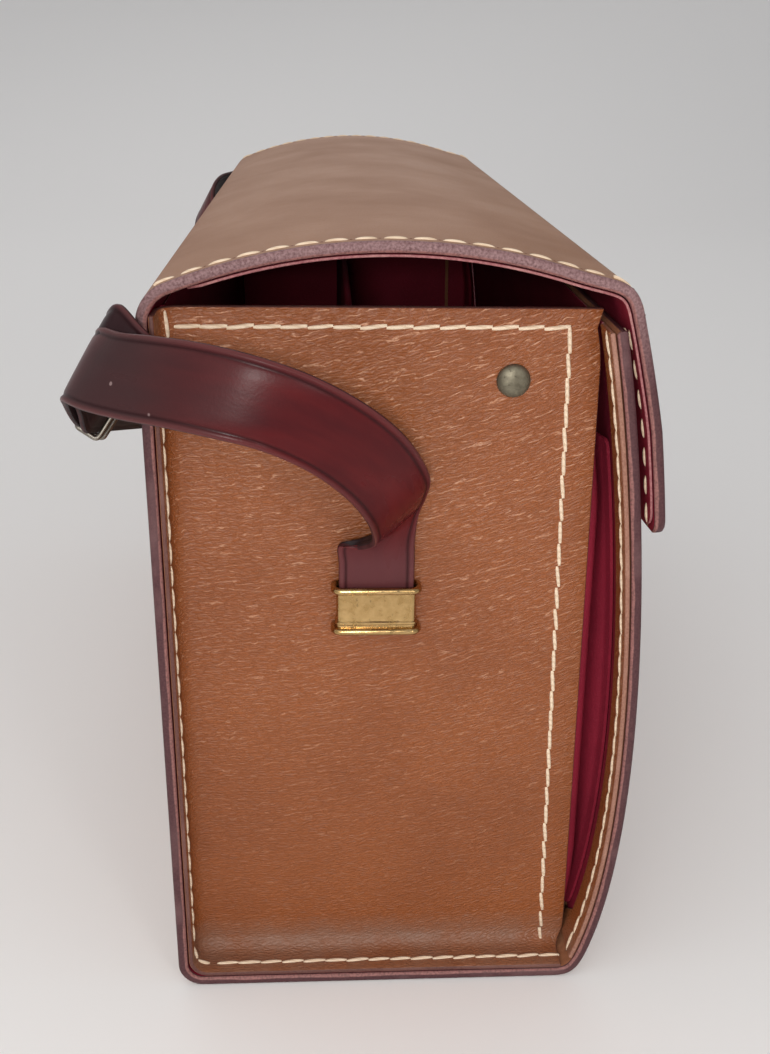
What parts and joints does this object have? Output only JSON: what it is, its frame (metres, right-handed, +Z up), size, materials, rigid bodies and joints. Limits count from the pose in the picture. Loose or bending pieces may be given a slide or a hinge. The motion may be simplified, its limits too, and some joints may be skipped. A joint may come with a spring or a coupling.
{
  "type": "camera bag",
  "caption": "Oblong leather camera bag with a domed lid and front flap, recessed stitched end panels, folding gussets, a red lining and a strap in brass keepers.",
  "frame": {"origin": "middle of the flat base it stands on", "axes": "+X along the bag's length, -Y to the front with the flap, +Z up"},
  "size_m": [0.3704, 0.1409, 0.203],
  "materials": {
    "tan_leather": "pebbled tan leather with a soft sheen",
    "red_lining": "dark red lining cloth",
    "burgundy_strap": "smooth semi-gloss burgundy strap",
    "brass": "polished, lightly worn",
    "old_steel": "dull tarnished",
    "linen_thread": "waxed cream thread"
  },
  "bodies": {
    "shell": {"body_wrap": "tan_leather", "back_lining": "red_lining", "base_board": "red_lining", "divider": "red_lining", "end_panel_left": "tan_leather", "end_panel_right": "tan_leather", "end_lining_left": "red_lining", "end_lining_right": "red_lining", "end_rivet_left": "old_steel", "end_rivet_right": "old_steel", "rivet_washer_left": "old_steel", "rivet_washer_right": "old_steel", "keeper_plate_left": "old_steel", "keeper_plate_right": "old_steel", "keeper_rivet_left": "brass", "keeper_rivet_right": "brass", "strap_keeper_left": "brass", "strap_keeper_right": "brass", "gusset_left": "red_lining", "gusset_right": "red_lining", "strap_short": "burgundy_strap", "strap_long": "burgundy_strap"},
    "lid": {"lid_leather": "tan_leather", "lid_lining": "red_lining", "snap_cap": "brass"},
    "front": {"front_wall": "tan_leather", "front_lining": "red_lining", "front_flange_left": "tan_leather", "front_flange_right": "tan_leather", "snap_stud": "brass", "snap_washer": "brass"},
    "slide": {"strap_slide": "old_steel"}
  },
  "joints": [
    {"name": "lid_hinge", "type": "hinge", "parent": "shell", "child": "lid", "pos_m": [0, 0.06, 0.184], "axis": [-1, 0, 0], "range_deg": [0, 110]},
    {"name": "front_hinge", "type": "hinge", "parent": "shell", "child": "front", "pos_m": [0, -0.05, 0], "axis": [1, 0, 0], "range_deg": [0, 11], "deforming": ["gusset_left", "gusset_right"]},
    {"name": "strap_slide", "type": "slide", "parent": "shell", "child": "slide", "axis": [0.9565, -0.03, -0.2902], "range_m": [0, 0.06]}
  ],
  "couplings": [
    {"joint": "front_hinge", "follows": "lid_hinge", "ratio": 0.1}
  ]
}
